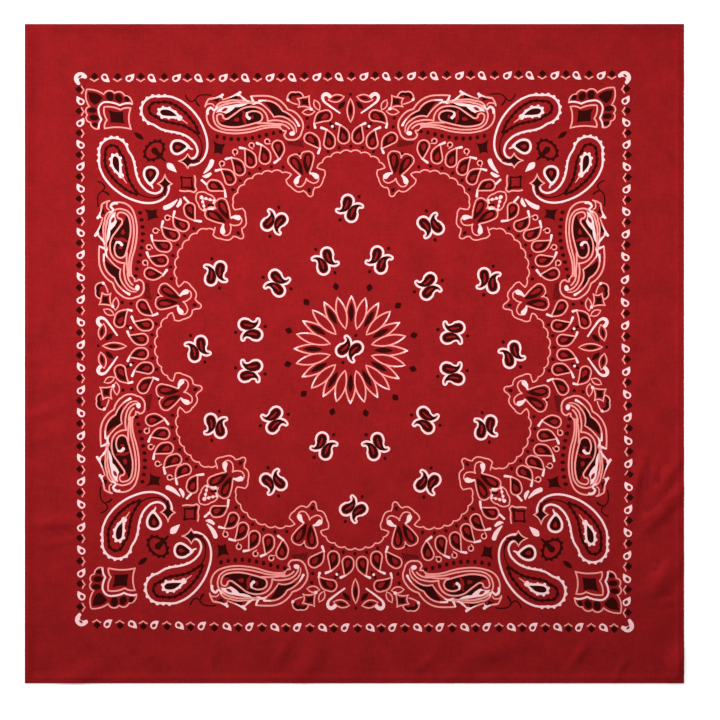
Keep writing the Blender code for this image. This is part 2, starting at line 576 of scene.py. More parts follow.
def edge_eighth():
    """An eighth of the medallion's edge and of the wreath outside it."""
    first, first_cusps = set_tulip(TULIP_ONE)
    second_cusps = set_tulip(TULIP_TWO)[1]
    out = lobe(0, None, first_cusps[0]) + lobe(-30, first_cusps[1], second_cusps[0]) + first
    for drop in DROPS:
        out += wreath_drop(*drop)
    for place in HORSESHOES:
        out += horseshoe(*place)
    # the shade beside the tulip: fine dark hatching
    for k in range(HATCHES):
        x = 40.6 + HATCH_STEP * k
        out += brush(BLACK, [(x, 171.6 + 0.25 * k), (x + 1.6, 177.6 - 0.2 * k)], 0.75)
    # the white dot on a dark comma, between the second drop and the leaf drop above it
    out += brush(BLACK, walk((17.6, 193.4), 258, (3.4, -30), (4.0, 10)), (1.4, 3.4, 1.6))
    return out + disc(WHITE, 15.7, 189.5, 1.2)


print("an eighth of the edge is", len(edge_eighth()), "patches")

# %% [markdown]
# ## The four sides
# Between the medallion and the border lie a small formal bouquet and, on either side of it, a
# long paisley that looks away from it.

# %% The bouquet in the middle of a side
def bouquet():
    """Half of the bouquet: the middle spindle, two leaves, a crook, a leaf drop and a rosette."""
    out = lens(BLACK, (0, 198.3), (0, 209.6), 3.0)
    out += lens(WHITE, (0, 193.2), (0, 213.4), 6.0, FINE)
    out += disc(BLACK, 0, 217.2, 1.3)
    out += lens(BLACK, (4.4, 211.4), (11.0, 204.2), 4.2)
    out += lens(RED, (5.4, 215.2), (18.9, 212.4), 6.2)
    out += lens(BLACK, (7.8, 214.8), (15.6, 213.2), 2.5)
    out += lens(WHITE, (5.4, 215.2), (18.9, 212.4), 6.4, FINE)
    crook = walk((9.4, 201.2), 34, (15, 4), (5, 46), (6, 118), (2.6, 30))
    out += brush(WHITE, crook, (1.6, 1.8, 1.9, 2.0, 2.2, 2.8, 3.4, 3.4))
    out += at(rosette(), 40.0, 210.8)
    out += lens(WHITE, (26.6, 203.6), (31.0, 212.4), 4.9, FINE)
    out += wreath_drop((21.0, 198.6), (31.2, 191.4), (30.4, 188.6), 1.9, 5.2)
    out += leaf((30.6, 202.4), (41.4, 201.6), 5.2)
    out += disc(WHITE, 33.8, 204.6, 1.4)
    return out + disc(BLACK, 37.3, 196.5, 1.5) + disc(BLACK, 36.4, 188.9, 1.5)


def rosette():
    """The small hollow-sided square with one curled petal, drawn round its own middle."""
    square = bows("-4.8 5.4 -0.4, 0.2 3.9 -0.2, 5.5 2.8 -1.5, 4.9 -4.7 -1.3, -6 -5.8 -0.7,"
                  "-4.8 5.4")
    out = drawn(
        (BLACK, "2.6 5.2 1.2, 7.6 6.0 1.5, 11.8 3.2", (1.8, 3.0, 3.0, 2.0)),
        (WHITE, "0.2 4.1 2.0, 7 8.2 2.4, 14 3.4 0.7, 13.6 1.3", FINE),
        (WHITE, "13.6 1.3 0.5, 5.6 -2.2", FINE),
    )
    out += disc(WHITE, 13.5, 1.6, 1.25)
    out += at(fill(BLACK, pillow(6.4, 6.0, 0.5, 0.6)), -0.9, 0)
    return out + ring(WHITE, square[:-1], FINE)


print("half a bouquet", len(bouquet()), "patches")

# %% [markdown]
# The long paisley has a body of even lines. A ruffled lobe lies over its back and rolls up at
# the end, two teeth stand on its crest, and the inside holds a curled white line on black.

# %% The long paisley
# Each line is a run of plain arcs. The paisley lies to the left of the top bouquet.
BODY_LINES = (
    "-123 200.6 -3.1, -114.5 186 -0.8, -98 183.4 -0.5, -81 186 1.3, -60 188.5",
    "-96 210.3 -0.9, -111 207.4 -1.7, -117.6 198 -0.3, -115.8 191.6 -1.2, -106 186.5 -0.7,"
    "-88.5 187 -0.2, -76 189.9 0.4, -60 190.2",
)
# the curled line: over the top, a small loop at the left, along the bottom, round the eye
CURLED_LINE = (
    "-71 194 -3.8, -83 206.5 -1, -94.5 203.9 0.1, -104 196.8 1.1, -109 197 -3.5,"
    "-114.4 196.4 -1.3, -109.5 190 -0.9, -94 189.3 -0.2, -79.5 193 -3.3, -78 201.6 -1.5, -88.6 201"
)
LOBE_LINES = (
    "-84.6 215.7 0.2, -73 216 3.0, -54 204.6 0, -53 204",
    "-53 204 1.2, -43.4 197.4 2.0, -42 184.8 2.6, -51.4 178 1.6, -57 182.4 -0.4, -55.4 185.6 1.0,"
    "-60.4 188.4",
    "-71 194 0.8, -58.6 194 2.0, -48.4 185.6",
    "-80 192.2 0.5, -63.6 191.5 1.6, -52.4 187.4",
)
CREST_DOTS = 10  # under the body


def crest_tooth(tip, foot, thorn):
    """One tooth of the crest: a dark thorn below a white line that ends in a white point."""
    out = fill(BLACK, [foot, thorn, between_points(foot, tip, 0.78)])
    out += brush(WHITE, bow(foot, tip, -0.6) + [tip], (0.9, 1.3, 2.4))
    back = (tip[0] + 0.2, tip[1] - 3.4)
    return out + fill(WHITE, [back, tip, between_points(foot, tip, 0.62)])


def long_paisley():
    """The long paisley: a ruffled lobe that rolls up, a body of lines, its inside and crest."""
    # the dark hollow of the lobe
    out = drawn((BLACK, "-73.4 210.2 2.4, -60.4 204 0.4, -50.6 197.4 0.8, -62.8 199 0.3,"
                        "-66.2 198.8 -1.0, -73.4 210.2"))
    out += drawn(*[(WHITE, text, FINE + 0.3) for text in LOBE_LINES + BODY_LINES])
    out += drawn(
        (WHITE, "-78 211.6 0.4, -69.4 211.6 1.6, -58.2 203 1.9, -44.4 190.4",
         (2.2, 1.2, 1.2, 1.2, 1.2, 1.2, 2.4)),
        (WHITE, "-82.6 209.6 1.2, -75 208 0.7, -65.6 197.6 2.0, -51.6 194.4 1.8, -46.6 184.4",
         (2.6, 1.1, 1.1, 1.1, 1.2, 1.1, 0.8)),
        (WHITE, "-85 215.4 0, -82.8 209.8", (1.6, 1.3, 2.8)),
    )
    out += disc(WHITE, -50, 183.4, 1.9, 1.35, 10)
    out += drawn(
        (WHITE, "-115.4 206 1.4, -107 210.8 0.9, -95 211.8 0.7, -83 210.2", FINE + 0.3),
        (WHITE, "-114 203.8 1.4, -105 208.9 0.8, -94 210 0.4, -84 209", FINE + 0.3),
    )
    return out + inside() + crest()


def inside():
    """The inside of the body: black, a curled white line, an eye and a white leaf."""
    out = drawn(
        (BLACK, "-107.6 199.4 1.0, -96.6 207.2 0.8, -84 209 0, -90 206 -0.8, -107.2 196.2 0,"
                "-107.6 199.4"),
        (BLACK, "-113 193.6 -0.8, -108 190.8 -0.8, -94 190.2 -0.2, -80 193.4 -2.6,"
                "-77.6 200.8 -2.6, -88.5 205.8 -0.8, -98 201.4 0, -105.6 195.6 1.4, -113 193.6"),
        (RED, "-100.4 194.8 0.8, -95.8 197 0.6, -96.2 193.6 0.3, -100.4 194.8"),
        (RED, "-92.8 203 1.2, -91.4 197 -0.4, -89.4 191.6", (0.8, 3.6, 3.0, 1.4)),
    )
    out += disc(RED, -84.2, 197.4, 1.2, 1.5, 80)
    out += drawn(
        (WHITE, CURLED_LINE, FINE + 0.25),
        (WHITE, "-88.6 201 -1.0, -86.8 196.6", (1.8, 2.6, 2.8)),
        # the white leaf, which has a red eye
        (WHITE, "-115.2 201.4 1.6, -104.6 207.4 0.5, -88 209.2 0.9, -98.8 206.2 0.6,"
                "-106.6 200.5 -0.9, -115.2 201.4"),
    )
    return out + at(lens(RED, (-3.2, 0), (3.2, 0), 2.8), -107.8, 203.9, 28)


def crest():
    """The toothed crest over the body, the white band at its left end, and dots underneath."""
    out = drawn((WHITE, "-124.4 206.6 0.4, -121.4 213.2 0.2, -114.6 214", 1.3))
    out += crest_tooth((-109.6, 216.8), (-120.4, 213), (-113.4, 210.4))
    out += crest_tooth((-94.4, 219), (-109.6, 212.6), (-96.4, 213.2))
    out += drawn(
        (WHITE, "-94.4 216.6 -0.5, -87.4 211", (1.1, 2.2, 1.4)),
        (WHITE, "-122.4 200.6 1.3, -119.4 205.7 0.2, -117.2 203.6 -0.6, -114.4 206.2",
         (2.4, 2.6, 2.2, 2.0, 1.6)),
        (WHITE, "-124.4 206.4 1.0, -120.4 209 0.9, -116.8 207", 1.0),
    )
    # the row of dark dots under the body
    for k in range(CREST_DOTS):
        t = k / (CREST_DOTS - 1)
        sag = -5.4 * math.sin(math.pi * t) * (1 - 0.62 * t)
        out += disc(BLACK, -114.3 + 54.3 * t, 180.6 + 4.4 * t + sag, 1.6, 1.2, 90)
    return out


def side():
    """Half of a side: from the middle of the bouquet to the end of the long paisley."""
    return bouquet() + moved(long_paisley(), flip=True)


print("one long paisley", len(long_paisley()), "patches")

# %% [markdown]
# ## The corners
# Each corner holds two bold paisleys that curl towards each other, with beads round their
# bulbs, and a crown-edged square behind them. Both paisleys are one drawing, mirrored on the
# diagonal.

# %% The bold paisley
# where the spine starts, its heading, and its arcs
BOLD_SPINE = (
    (166.6, 203.0), 190, (20, 16), (12, 16), (14, 22), (10, 27), (7, 32), (8, 50), (4, 6),
)
BOLD_WIDE = (24.8, 29.8, 28.8, 24.5, 19.4, 14.4, 10.4, 7.4, 5.8, 5.4)
BEAD_STEP = 5.2  # from one bead to the next
VEIN_IN = 12.6  # how much narrower the dark vein's loop is than the body
STAR_AT = (139.6, 159.2)
TENDRIL = ((119.4, 216.4), 10, (8, -16), (5.6, -50), (3, 14), (4.6, 84), (5.6, 36))


def bold_paisley():
    """A beaded outline round a beaded dark vein, a knobbed spindle, a star and a curled drop."""
    spine = walk(*BOLD_SPINE)
    out = brush(WHITE, rim(spine, BOLD_WIDE), BOLD)
    # beads round the bulb and under it, pushed outwards by half a bead
    bulb = rim(spine, less(BOLD_WIDE, -1.0))
    bulb = [(x, y) for x, y in bulb if x > 154 and (x > 170 or y > 200)]
    under = [(x, y) for x, y in rim(spine, less(BOLD_WIDE, -0.6)) if 140 < x < 162 and y < 188]
    out += beaded(WHITE, bulb, BEAD_STEP, 1.5) + beaded(WHITE, under, BEAD_STEP, 1.2)
    # the vein: a loop inside the bulb that closes to one line down the tail
    wide = widths_along(spine, BOLD_WIDE)
    count = sum(1 for w in wide if w > VEIN_IN + 1.4)
    vein = [(x - 0.3, y + 1.0) for x, y in rim(spine[:count], less(wide[:count], VEIN_IN))]
    out += brush(BLACK, vein, 1.9) + beaded(BLACK, vein, BEAD_STEP, 1.6)
    out += brush(BLACK, spine[count - 2 :], (1.6, 1.0, 0.9, 1.4, 2.2, 3.0))
    # the star that ends the tail
    out += at(fill(RED, star(7.8, 6.3, 1.3)) + ring(WHITE, star(7.8, 6.3, 1.3), FINE), *STAR_AT)
    out += brush(RED, [(130.4, 159.6), (134.6, 158.4), (137.0, 158.8)], (3.2, 3.6, 3.2))
    out += at(fill(BLACK, star(6.0, 4.9, 0.8)), *STAR_AT)
    out += brush(BLACK, [(131.0, 159.8), (137.0, 158.8)], (2.0, 3.4))
    # the knobbed spindle in the bulb
    spindle = teardrop((160.2, 201.4), (146.4, 197.2), 3.8, -0.8)
    out += fill(BLACK, spindle) + ring(WHITE, spindle, 2.2)
    knobs = [p for p in teardrop((160.2, 201.4), (146.4, 197.2), 4.7, -0.8) if p[0] > 149]
    for knob in knobs[::3]:
        out += disc(WHITE, *knob, 1.25)
    out += disc(WHITE, 146.3, 196.6, 2.4)
    out += brush(WHITE, [(145, 195.6), (139.6, 191.8)], (1.2, 0.5))
    # the drop in the curl of the tail
    drop = teardrop((148.0, 171.2), (138.6, 171.8), 5.9, -0.4)
    out += fill(RED, drop) + fill(BLACK, teardrop((148.0, 171.2), (139.6, 172.0), 4.4, -0.2))
    out += ring(WHITE, drop, BOLD + 0.2)
    out += drawn((WHITE, "140 172.0 0.3, 135.4 169.6", (2.0, 2.0, 1.2)))
    out += fill(RED, teardrop((148.6, 171.2), (145.0, 171.6), 1.7))
    # the thin dark tendril over the back
    out += brush(BLACK, walk(*TENDRIL), 1.2)
    return out + brush(BLACK, [(132.4, 212.0), (131.6, 209.4), (129.8, 207.4)], (1.2, 1.6, 1.8))


print("one bold paisley", len(bold_paisley()), "patches")

# %% [markdown]
# The crown is a hollow-sided square with a banded edge on its two outer sides: a bold line,
# dark leaves in a row, and a scalloped line that comes to a point over the corner.

# %% The crown and what lies on the diagonal
# the dark leaves of the crown's band: middle, radius, how long for its width, turn in degrees
CROWN_LEAVES = (
    (191.4, 212.8, 2.0, 1.3, 70), (198.3, 213.6, 3.0, 1.3, 64), (205.9, 214.8, 3.2, 1.25, 80),
    (221.0, 202.8, 2.4, 1.6, 4), (219.6, 196.3, 2.5, 1.6, 4), (218.6, 190.2, 1.8, 1.5, 4),
)
SWIRL = 168.2  # from both middle lines to the middle of the dark swirl
SWIRL_BEADS = 0.12  # how far outside the swirl its beads lie, as a share of its radius


def crown():
    """The crown-edged square in the very corner."""
    square = bows("188.1 204.9 0.9, 196.8 203.4 1.1, 210.8 205.8 1.2, 208.4 194.4 1.0,"
                  "210.4 187 0, 210.2 187 -1.4, 187.8 186.6 -1.8, 188.1 204.9")
    out = ring(WHITE, square[:-1], FINE + 0.2)
    out += drawn(
        (BLACK, "194.6 202 -1.2, 207.8 203.6 -0.9, 205.4 192.2 -0.4, 193.4 191.4 -0.5, 194.6 202"),
        (WHITE, "187 208.7 0.4, 193.2 208.8 0.2, 197.4 207.3 0.9, 210.4 210 1.3,"
                "215.8 203.6 0.6, 213.2 194.8 0.7, 215.6 187.2", 1.8),
        # scalloped outer edge: three over the top, the point, and three down the side
        (WHITE, "187 208.7 2.2, 193.4 215.8 2.3, 201.8 217.8 2.8, 211.2 216.6 1.4,"
                "225.6 220.9 2.0, 223.3 206 2.5, 225.1 198.9 2.4, 222.6 192.2 2.2, 215.6 186.6",
         FINE + 0.1),
        (BLACK, "212.0 213.4 1.6, 222.6 218.2 1.4, 224 216.6 1.6, 218.8 207.4 0.6, 212.0 213.4"),
    )
    for place in CROWN_LEAVES:
        out += disc(BLACK, *place)
    return out + lens(BLACK, (177.0, 177.6), (185.4, 183.8), 4.2)


def diagonal_half():
    """What lies beside the diagonal, between the bold paisley and the medallion."""
    # the loose white strokes
    stroke = walk((118.9, 159.0), 284, (4, 16), (4.6, 12), (4, 6))
    out = brush(WHITE, stroke, (4.0, 4.2, 3.6, 2.6, 1.0))
    out += brush(WHITE, walk((120.4, 148.4), 318, (2.4, 10), (4.6, 44)), (2.4, 3.4, 3.2, 1.2))
    out += drawn(
        (WHITE, "124.0 139.4 0, 127.6 142.7", 2.1),
        # half of the open bracket and of the dark square in it
        (WHITE, "133.8 146.5 -0.4, 133.4 139.6 0.3, 132.5 135.2 -0.5, 133.4 133.4", FINE + 0.2),
        (BLACK, "135.2 135.2 -0.7, 136.1 145.2", (2.2, 1.9, 1.3)),
        (BLACK, "145 136.4 0.5, 145.4 145.2", (1.6, 1.2, 1.9)),
        # half of the jewel over the tulip: an outer line with two bumps, beads and a plain side
        (WHITE, "116.4 126.2 1.0, 122.4 130.8 1.2, 130.4 132.2 0.3, 131.6 131.6", FINE),
        (WHITE, "117 125.7 -0.5, 124 126.9 -0.4, 127.8 127.8", 1.3),
    )
    out += disc(WHITE, 120.6, 126.1, 1.2) + disc(WHITE, 124.2, 127.0, 1.3)
    return out + drawn((WHITE, "117 125.7 0.3, 118.4 118.4", (2.0, 1.4, 2.6)))


def between():
    """What lies across the diagonal: a swirl, a kite, and the middle of the jewel."""
    loop = [(x + SWIRL, y + SWIRL) for x, y in disc(BLACK, 0, 0, 6.5, 1.42, -45)[0][1]]
    outer = [(x + (x - SWIRL) * SWIRL_BEADS, y + (y - SWIRL) * SWIRL_BEADS) for x, y in loop]
    out = ring(BLACK, loop, 2.0) + beaded(BLACK, outer, 4.6, 1.3)
    out += brush(BLACK, [(159.4, 159.6), (164.2, 164.4), (168.0, 168.2)], (1.6, 3.4, 5.6))
    kite = "149 149.4 0.2, 152.3 156.3 0.7, 157.3 157.3 0.7, 156.3 152.3 0.2, 149 149.4"
    out += drawn((WHITE, kite))
    return out + disc(WHITE, 128.0, 128.0, 1.6) + disc(BLACK, 120.9, 121.0, 1.6, 1.2, 45)


def on_diagonal(patches):
    """Patches mirrored on the diagonal."""
    return [(ink, [(y, x) for x, y in part[::-1]]) for ink, part in patches]


def eighth():
    """Everything that repeats by eighths, from the middle of the top side to the diagonal."""
    out = edge_eighth() + side() + bold_paisley() + diagonal_half()
    # the dark hollow-sided star between the two paisleys
    return out + drawn((BLACK, "107 174.6 0.9, 110 164.6 1.6, 117.6 165.4 1.3, 118.2 178.2 2.1,"
                               "107 174.6"))


print("an eighth of the print is", len(eighth()), "patches")

# %% [markdown]
# ## The border
# A single row of small loops and dark diamonds runs round the print, with a fat curled drop at
# each corner. The loops lean one way and then the other.

# %% The border
ROW_AWAY = 234.3  # from the middle of the cloth to the top and bottom rows of diamonds
COLUMN_AWAY = 233.2  # to the left and right columns
ROW_REACH = 219.6  # from the middle to the last diamond of a row
ROW_EASE = 0.019  # how much closer the diamonds of a row lie towards its ends
COLUMN_TOP, COLUMN_BOTTOM = 221.6, -219.0
ROW_COUNT, COLUMN_COUNT = 23, 24  # diamonds


def row():
    """The top row, from left to right."""
    places = []
    for k in range(ROW_COUNT):
        t = 2 * k / (ROW_COUNT - 1) - 1
        places.append(ROW_REACH * (t + ROW_EASE * t * (1 - t * t)))
    out = []
    for k, x in enumerate(places):
        out += at(diamond(), x, ROW_AWAY)
        out += at(bracket(), x - 0.3, ROW_AWAY - 4.6)
        if k + 1 < ROW_COUNT:
            middle = (x + places[k + 1]) / 2
            if k % 2:
                out += at(border_drop(), middle - 0.3, ROW_AWAY - 1.9)
            else:
                out += at(border_drop(), middle - 1.3, ROW_AWAY - 0.9, -84)
    return out


def column():
    """The right column, from top to bottom."""
    step = (COLUMN_TOP - COLUMN_BOTTOM) / (COLUMN_COUNT - 1)
    out = []
    for k in range(COLUMN_COUNT):
        y = COLUMN_TOP - step * k
        out += at(diamond(), COLUMN_AWAY, y)
        out += at(bracket(), COLUMN_AWAY - 4.5, y - 0.5, -90)
        if k + 1 < COLUMN_COUNT:
            middle = y - step / 2 - 1.3
            if k % 2 == 0:
                out += at(border_drop(), COLUMN_AWAY - 2.0, middle, 12)
            else:
                out += moved(border_drop(), (COLUMN_AWAY - 0.9, middle), turn=-12, flip=True)
    return out


def corner_curl():
    """The fat curled drop at the upper right corner."""
    curl = walk((227.4, 232.4), 40, (4.0, -40), (6.8, -110), (2.8, -20))
    out = brush(WHITE, curl, (3.4, 5.0, 5.4, 5.0, 4.0, 3.0))
    return out + disc(RED, 231.8, 232.4, 0.95, 2.0, -40)


# How a side sways on the loose weave, in mm: a constant, and a wave with its pace in degrees for
# each half of the side and the place of its peak, where -1 and 1 are the two ends of the side.
Sway = namedtuple("Sway", "base wave pace peak")
TOP_SWAY = (Sway(0.1, -1.1, 225, 0.2), Sway(-0.9, 0.85, 150, 0.6))
BOTTOM_SWAY = (Sway(1.75, 1.3, 150, -0.25), Sway(-1.0, -1.4, 150, -0.3))
LEFT_SWAY = (Sway(0.4, 0, 0, 0), Sway(-0.3, 0.7, 160, 0.4))
RIGHT_SWAY = (Sway(0, 1.1, 327, -0.4), Sway(-0.85, 0.85, 180, 0.6))


def swayed(patches, axis, sways):
    """One side of the border moved sideways and up by its two sways. Axis 0 runs along x."""
    out = []
    for ink, corners in patches:
        t = sum(corner[axis] for corner in corners) / len(corners) / ROW_AWAY
        dx, dy = [s.base + s.wave * math.cos(math.radians(s.pace * (t - s.peak))) for s in sways]
        out.append((ink, [(x + dx, y + dy) for x, y in corners]))
    return out


def border():
    """Both rows, both columns and the four corner drops."""
    out = swayed(row(), 0, TOP_SWAY) + swayed(moved(row(), flip_y=True), 0, BOTTOM_SWAY)
    out += swayed(column(), 1, RIGHT_SWAY) + swayed(moved(column(), flip=True), 1, LEFT_SWAY)
    return out + four_ways(corner_curl())


print("border", len(border()), "patches")

# %% [markdown]
# ## The whole print on the cloth
# The print is drawn on a true square. On the cloth it sits slightly askew, and it bows up a
# little towards the left and right edges, as screen printing on a loose weave does. The ring
# of eighths slipped a little more than the border did.

# %% The whole print on the cloth
PRINT_HALF = 231.3  # from the middle of the print to its corner drops
# how far each corner of the print is off its true place: x, y
SKEW = {(-1, 1): (-1.0, 2.4), (1, 1): (-2.3, 3.3), (-1, -1): (-0.1, 5.0), (1, -1): (0.3, -0.1)}
BOW = 3.2  # rise of the border at the middle of its left and right edges
BOW_START, BOW_FULL = 95.0, 150.0  # from the middle line: where the rise starts and is full
SLIP = (-0.8, 2.1)  # how far the eighths slipped on the whole, mm
SLIP_REACH = 200.0  # distance from the middle at which the other shares of the slip are in mm


def mapped(patches, where):
    """Patches with each corner put where a function of x and y says."""
    return [(ink, [where(x, y) for x, y in corners]) for ink, corners in patches]


def on_cloth(x, y):
    """Where a point of the true square comes to lie on the cloth."""
    u, v = (x / PRINT_HALF + 1) / 2, (y / PRINT_HALF + 1) / 2
    dx = dy = 0.0
    for (right, top), (off_x, off_y) in SKEW.items():
        share = (u if right > 0 else 1 - u) * (v if top > 0 else 1 - v)
        dx += share * off_x
        dy += share * off_y
    return x + dx, y + dy


def bowed(x, y):
    """Where a point of the border lies with its rise towards the left and right edges."""
    t = min(1.0, max(0.0, (abs(x) - BOW_START) / (BOW_FULL - BOW_START)))
    return x, y + BOW * t * t * (3 - 2 * t) * max(0.0, 1 - (y / PRINT_HALF) ** 2)


def slipped(x, y):
    """Where a point of the ring of eighths slipped to: a shift, a slight shrink and a bow."""
    u, v = x / SLIP_REACH, y / SLIP_REACH
    dx = SLIP[0] - 1.3 * u - 1.3 * v + 0.4 * v * v
    dy = SLIP[1] + 0.4 * u + 0.35 * v + 1.1 * u * u - 2.3 * v * v
    return x + dx, y + dy


def whole_print():
    """Every patch of the print, the first one lowest."""
    one = eighth()
    corner = crown() + between() + at(tulip(), *TULIP_TWO)
    ring_of_eighths = four_ways(one) + four_ways(on_diagonal(one)) + four_ways(corner)
    return mapped(ring_of_eighths, slipped) + mapped(border(), bowed) + flower() + scatter()


PRINT = whole_print()
OUTLINES = [corners for _, corners in mapped(PRINT, on_cloth)]
print("the print is", len(PRINT), "patches with", sum(len(c) for c in OUTLINES), "corners")

# %% [markdown]
# ## Cut the cloth
# The cloth lies flat with its face up. It is 0.35 mm thick here, a little more than the real
# 0.25 mm, so that its edge catches the light. Its height comes from three things: a few soft
# creases where it doesn't quite touch the table, the step up over its hems, and a slight
# pucker along them where the sewing thread pulls.

# %% Cut the cloth: its size, its creases and its hems
HALF = 279.5  # half of the finished side, mm
THICK = 0.35  # thickness of one layer of cloth
HEM = 5.0  # width of the hem
HEM_RISE = 0.65  # the two layers turned under the edge
HEM_RAMP = 3.0  # run over which the cloth comes down from its hem
FOLD = 0.5  # radius of the folded edge
PUCKER = 0.16  # height of the pucker along the hems
PUCKER_REACH = 22.0  # how far in from the edge it dies out
PUCKER_RUN, PUCKER_DEEP = 9.5, 30.0  # size of a ripple along the edge and away from it
PUCKER_EXTRA = 0.35  # added to the noise, so that more than half of the edge is puckered
PUCKER_ROWS = (8.7, 3.1)  # where its noise is read: at the lower left sides, at the upper right
Crease = namedtuple("Crease", "x y turn length width height")
CREASES = (
    # right margin, below the middle: the four creases that run up to the edge
    Crease(240, -104, 68, 62, 17, 1.6), Crease(268, -101, 61, 62, 17, 1.8),
    Crease(261, -134, 45, 84, 19, 2.4), Crease(264, -189, 52, 70, 28, 2.0),
    # right margin, above the middle
    Crease(273, 236, -43, 40, 15, 1.4), Crease(266, 164, -20, 46, 18, 1.2),
    # left margin
    Crease(-271, -6, 12, 34, 16, 1.1), Crease(-264, -50, 16, 46, 18, 1.4),
    Crease(-268, -98, -22, 36, 16, 1.0), Crease(-256, -143, 2, 64, 18, 1.6),
    # bottom margin and its corners
    Crease(-232, -272, 18, 60, 26, 1.8), Crease(-38, -262, 58, 54, 28, 1.8),
    Crease(122, -250, 18, 90, 30, 1.5), Crease(274, -262, 74, 52, 26, 2.0),
)
# sharper, smaller creases that lie on and beside the soft ones
FINE_CREASES = (
    Crease(239, -119, 77, 62, 13, 1.0), Crease(255, -98, 68, 36, 12, 0.8),
    Crease(268, -121, 31, 34, 12, 0.9), Crease(248, -138, 40, 34, 12, 0.8),
    Crease(261, -186, 62, 40, 14, 0.5), Crease(265, -211, 6, 38, 12, 0.6),
    Crease(262, 170, -35, 34, 11, 0.5), Crease(-266, 26, 4, 26, 10, 0.5),
    Crease(-262, -72, 8, 34, 11, 0.6), Crease(-258, -112, -12, 36, 11, 0.6),
    Crease(-250, -160, 10, 48, 12, 0.7), Crease(-120, -258, 74, 40, 14, 0.7),
    Crease(-60, -252, 62, 44, 14, 0.8), Crease(60, -262, 40, 44, 14, 0.7),
    Crease(190, -256, 55, 48, 14, 0.9), Crease(226, -266, 60, 38, 12, 0.8),
)


def soft(offset, reach):
    """1 in the middle of a crease, and a smooth fall to 0 at its reach."""
    if abs(offset) >= reach:
        return 0.0
    return 0.5 * (1 + math.cos(math.pi * offset / reach))


def lift(x, y):
    """How far the cloth stands off the table at its creases, mm."""
    total = 0.0
    for crease in CREASES + FINE_CREASES:
        turn = math.radians(crease.turn)
        east, north = x - crease.x, y - crease.y
        along = east * math.cos(turn) + north * math.sin(turn)
        beside = north * math.cos(turn) - east * math.sin(turn)
        total += crease.height * soft(along, crease.length / 2) * soft(beside, crease.width / 2)
    return total


def pucker(x, y):
    """The ripple that the thread draws into the hem and the cloth beside it, mm."""
    inset = HALF - max(abs(x), abs(y))
    if inset > PUCKER_REACH:
        return 0.0
    along = (x if abs(y) > abs(x) else y) / PUCKER_RUN
    wave = noise.noise(Vector((along, PUCKER_ROWS[x + y > 0], inset / PUCKER_DEEP)))
    return PUCKER * max(0.0, wave + PUCKER_EXTRA) * (1 - inset / PUCKER_REACH)


def height(x, y):
    """Height of the printed face above the table, mm."""
    inset = HALF - max(abs(x), abs(y))
    step = min(1.0, max(0.0, 1 - (inset - HEM) / HEM_RAMP))
    step = step * step * (3 - 2 * step)
    return THICK + lift(x, y) + pucker(x, y) + HEM_RISE * step


print("face height in the middle", height(0, 0), "and at an edge", round(height(0, HALF), 2), "mm")

# %% [markdown]
# The print isn't a picture laid over the cloth: the face of the cloth is cut along the outlines
# of the drawing, and every piece of it gets the finish of its ink. The cutting is done by a
# constrained triangulation, once with all the patches, and once more with only the lines
# where two inks meet, which keeps the mesh light.

# %% Points that carry the shape of the cloth
SEAM = HALF - FOLD  # where the face starts to roll over its edge
EDGE_STEP = 3.0  # along the rim and the hems
CREASE_STEP = 3.2  # along a fine crease
MARGIN = 226.0  # from the middle of the cloth to its creased margins
FACE_STEPS = (9.0, 3.6)  # between the face's points: inside, and in the margins
UNDER_STEPS = (18.0, 9.0)  # the same for the underside


def spread(step, margin_step):
    """Points over the face: close together in the margins, and wider apart inside."""
    out = []
    count = round(2 * SEAM / margin_step)
    lines = [-SEAM + 2 * SEAM * i / count for i in range(count + 1)]
    ratio = max(1, round(step / margin_step))
    for i, x in enumerate(lines):
        for k, y in enumerate(lines):
            away = max(abs(x), abs(y))
            if away > SEAM - margin_step * 0.7:
                continue
            if away >= MARGIN or (i % ratio == 0 and k % ratio == 0):
                out.append((x, y))
    # rows close together where the cloth rises over its hems
    for inset in (1.4, HEM, HEM + HEM_RAMP * 0.33, HEM + HEM_RAMP * 0.67, HEM + HEM_RAMP):
        out += square_of_points(HALF - inset)
    return out


def square_of_points(reach):
    """Points round a square, a step apart."""
    runs = round(2 * reach / EDGE_STEP)
    out = []
    for i in range(runs):
        t = -reach + 2 * reach * i / runs
        out += [(t, -reach), (reach, t), (-t, reach), (-reach, -t)]
    return out


def along_creases():
    """Points in rows along the fine creases, so that their ridges come out clean."""
    out = []
    for crease in FINE_CREASES:
        turn = math.radians(crease.turn)
        runs = round(crease.length / CREASE_STEP)
        for share in (-0.5, -0.25, 0, 0.25, 0.5):
            beside = crease.width * share
            line = [(crease.length * (i / runs - 0.5), beside) for i in range(runs + 1)]
            line = turned(line, (crease.x, crease.y), math.cos(turn), math.sin(turn))
            out += [(x, y) for x, y in line if max(abs(x), abs(y)) < SEAM - CREASE_STEP]
    return out


EDGE = [p for corner in range(4) for p in square_of_points(SEAM)[corner::4]]  # anticlockwise
FILLING = spread(*FACE_STEPS) + along_creases()
print("the rim has", len(EDGE), "points and the face", len(FILLING), "more")

# %% Cut the face along the print
CUT_SLACK = 0.025  # how far a cut may leave the drawn line, mm
CUT_MERGE = 0.001  # corners closer than this become one, mm


def cut(points, lines, outlines):
    """Triangulates points with lines and outlines kept, and says what each triangle lies in."""
    flat = [Vector(p) for p in points]
    loops = []
    for outline in outlines:
        loops.append(list(range(len(flat), len(flat) + len(outline))))
        flat.extend(Vector(p) for p in outline)
    return geometry.delaunay_2d_cdt(flat, lines, loops, 0, CUT_MERGE, True)


